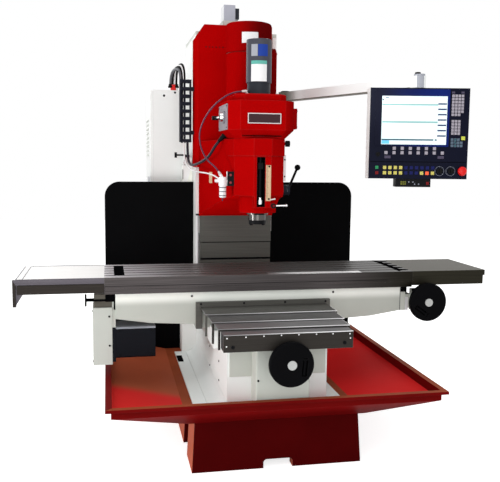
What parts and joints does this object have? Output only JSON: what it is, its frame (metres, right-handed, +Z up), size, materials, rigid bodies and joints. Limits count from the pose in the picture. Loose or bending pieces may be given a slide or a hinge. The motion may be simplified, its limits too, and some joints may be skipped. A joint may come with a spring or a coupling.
{
  "type": "bed type milling machine",
  "caption": "Bed type milling machine: a red head on a white column over a T-slotted table on a saddle, with chip pan, splash guards, handwheels and a swing-out control panel.",
  "frame": {"origin": "On the floor under the middle of the base casting's underside", "axes": "+Z up, +X to the operator's right along the table, +Y from the operator to the column"},
  "size_m": [2.596, 2.363, 2.582],
  "materials": {
    "red_paint": "glossy red machine paint",
    "white_paint": "satin white machine paint",
    "black_paint": "glossy black paint",
    "navy_paint": "dark blue satin paint",
    "grey_paint": "satin grey paint",
    "ground_steel": "ground steel",
    "sheet_steel": "brushed sheet steel",
    "chrome": "hard chrome",
    "machined": "machined aluminium",
    "black_plastic": "matte black",
    "grey_plastic": "light grey keys",
    "red_plastic": "red plastic",
    "rubber": "black rubber",
    "hose": "clear pale plastic",
    "screen": "dark glossy screen"
  },
  "bodies": {
    "machine": {"base_pedestal": "red_paint", "chip_pan": "red_paint", "bed_casting": "white_paint", "y_drive_box": "white_paint", "y_cover_end_plate": "sheet_steel", "column": "white_paint", "z_drive_guard": "white_paint", "z_servo_motor": "machined", "splash_guards": "black_paint", "column_cover_lower": "sheet_steel", "lubricator": "white_paint", "electrical_cabinet": "white_paint", "arm_bracket": "white_paint", "chain_hoses": "rubber"},
    "saddle": {"saddle": "white_paint", "x_drive_bracket": "grey_paint", "x_belt_cover": "white_paint", "x_servo_motor": "navy_paint", "x_wheel_bracket": "grey_paint", "y_cover_flange": "grey_paint", "y_rear_cover": "white_paint"},
    "table": {"table": "ground_steel", "table_wing_left": "ground_steel", "table_wing_right": "ground_steel"},
    "cover_section_1": {"y_cover_section_1": "sheet_steel"},
    "cover_section_2": {"y_cover_section_2": "sheet_steel"},
    "head": {"column_cover_upper": "sheet_steel", "head_slide": "red_paint", "head_casing": "red_paint", "head_casting": "red_paint", "belt_housing": "red_paint", "spindle_motor": "red_paint", "drawbar_unit": "grey_paint", "head_plates": "sheet_steel", "depth_stop": "ground_steel", "air_regulator": "machined", "cable_chain": "black_plastic", "motor_cable": "rubber", "air_hoses": "hose"},
    "column_cover": {"column_cover_middle": "sheet_steel"},
    "quill": {"quill": "chrome"},
    "spindle": {"spindle": "ground_steel"},
    "feed_lever": {"feed_lever": "black_paint"},
    "lock_lever": {"lock_lever": "chrome"},
    "range_lever": {"range_lever": "black_paint"},
    "x_screw": {"x_ballscrew": "ground_steel"},
    "y_screw": {"y_ballscrew": "ground_steel"},
    "z_screw": {"z_ballscrew": "ground_steel"},
    "y_wheel": {"y_handwheel": "black_paint"},
    "y_handle": {"y_wheel_handle": "chrome"},
    "x_wheel": {"x_handwheel": "black_paint"},
    "x_handle": {"x_wheel_handle": "chrome"},
    "arm": {"control_arm": "white_paint"},
    "panel": {"panel_housing": "white_paint", "panel_screen": "screen", "panel_keys": "grey_plastic"},
    "feed_dial": {"feed_dial": "black_plastic"},
    "speed_dial": {"speed_dial": "black_plastic"},
    "stop_button": {"stop_button": "red_plastic"},
    "door": {"cabinet_door": "white_paint"}
  },
  "joints": [
    {"name": "saddle_y", "type": "slide", "parent": "machine", "child": "saddle", "axis": [0, 1, 0], "range_m": [-0.229, 0.229]},
    {"name": "table_x", "type": "slide", "parent": "saddle", "child": "table", "axis": [1, 0, 0], "range_m": [-0.5, 0.5]},
    {"name": "head_z", "type": "slide", "parent": "machine", "child": "head", "axis": [0, 0, 1], "range_m": [-0.1, 0.36], "deforming": ["chain_hoses"]},
    {"name": "quill_z", "type": "slide", "parent": "head", "child": "quill", "axis": [0, 0, 1], "range_m": [-0.127, 0]},
    {"name": "spindle_spin", "type": "hinge", "parent": "quill", "child": "spindle", "pos_m": [0, -0.365, 1.3], "axis": [0, 0, 1], "continuous": true},
    {"name": "feed_lever_turn", "type": "hinge", "parent": "head", "child": "feed_lever", "pos_m": [0.154, -0.315, 1.37], "axis": [1, 0, 0], "range_deg": [0, 271]},
    {"name": "lock_lever_turn", "type": "hinge", "parent": "head", "child": "lock_lever", "pos_m": [0.058, -0.507, 1.292], "axis": [0, 1, 0], "range_deg": [0, 60]},
    {"name": "range_lever_turn", "type": "hinge", "parent": "head", "child": "range_lever", "pos_m": [-0.197, -0.35, 1.773], "axis": [1, 0, 0], "range_deg": [-45, 45]},
    {"name": "cover_section_1_y", "type": "slide", "parent": "machine", "child": "cover_section_1", "axis": [0, 1, 0], "range_m": [-0.1604, 0.1604]},
    {"name": "cover_section_2_y", "type": "slide", "parent": "machine", "child": "cover_section_2", "axis": [0, 1, 0], "range_m": [-0.0573, 0.0573]},
    {"name": "column_cover_z", "type": "slide", "parent": "machine", "child": "column_cover", "axis": [0, 0, 1], "range_m": [-0.051, 0.181]},
    {"name": "x_screw_spin", "type": "hinge", "parent": "saddle", "child": "x_screw", "pos_m": [0, -0.3645, 0.797], "axis": [1, 0, 0], "continuous": true},
    {"name": "y_screw_spin", "type": "hinge", "parent": "machine", "child": "y_screw", "pos_m": [0, -0.5, 0.598], "axis": [0, 1, 0], "continuous": true},
    {"name": "z_screw_spin", "type": "hinge", "parent": "machine", "child": "z_screw", "pos_m": [0, 0.382, 1.4], "axis": [0, 0, 1], "continuous": true},
    {"name": "y_wheel_spin", "type": "hinge", "parent": "machine", "child": "y_wheel", "pos_m": [0, -1.18, 0.598], "axis": [0, 1, 0], "continuous": true},
    {"name": "y_handle_fold", "type": "hinge", "parent": "y_wheel", "child": "y_handle", "pos_m": [0.06447, -1.1895, 0.62348], "axis": [-0.9962, 0, 0.0872], "range_deg": [0, 90]},
    {"name": "x_wheel_spin", "type": "hinge", "parent": "saddle", "child": "x_wheel", "pos_m": [0.922, -0.64, 0.76], "axis": [0, 1, 0], "continuous": true},
    {"name": "x_handle_fold", "type": "hinge", "parent": "x_wheel", "child": "x_handle", "pos_m": [0.91183, -0.6495, 0.69143], "axis": [0.5736, 0, 0.8192], "range_deg": [0, 90]},
    {"name": "arm_swing", "type": "hinge", "parent": "machine", "child": "arm", "pos_m": [0.37, 0.52, 1.96], "axis": [0, 0, 1], "range_deg": [-10, 70]},
    {"name": "panel_swivel", "type": "hinge", "parent": "arm", "child": "panel", "pos_m": [0.835, -0.62, 1.96], "axis": [0, 0, 1], "range_deg": [-60, 60]},
    {"name": "feed_dial_turn", "type": "hinge", "parent": "panel", "child": "feed_dial", "pos_m": [0.94294, -0.67975, 1.49], "axis": [-0.2079, -0.9781, 0], "range_deg": [-135, 135]},
    {"name": "speed_dial_turn", "type": "hinge", "parent": "panel", "child": "speed_dial", "pos_m": [1.00163, -0.69222, 1.49], "axis": [-0.2079, -0.9781, 0], "range_deg": [-135, 135]},
    {"name": "stop_press", "type": "slide", "parent": "panel", "child": "stop_button", "axis": [0.2079, 0.9781, 0], "range_m": [0, 0.006], "stiffness_N_per_m": 1500},
    {"name": "door_swing", "type": "hinge", "parent": "machine", "child": "door", "pos_m": [-0.531, 1.15, 1.35], "axis": [0, 0, 1], "range_deg": [-110, 0]}
  ],
  "couplings": [
    {"joint": "cover_section_1_y", "follows": "saddle_y", "ratio": 0.7},
    {"joint": "cover_section_2_y", "follows": "saddle_y", "ratio": 0.25},
    {"joint": "column_cover_z", "follows": "head_z", "ratio": 0.5},
    {"joint": "x_screw_spin", "follows": "table_x", "rad_per_m": 628.32},
    {"joint": "y_screw_spin", "follows": "saddle_y", "rad_per_m": 628.32},
    {"joint": "z_screw_spin", "follows": "head_z", "rad_per_m": 628.32},
    {"joint": "feed_lever_turn", "follows": "quill_z", "rad_per_m": -37.1}
  ]
}
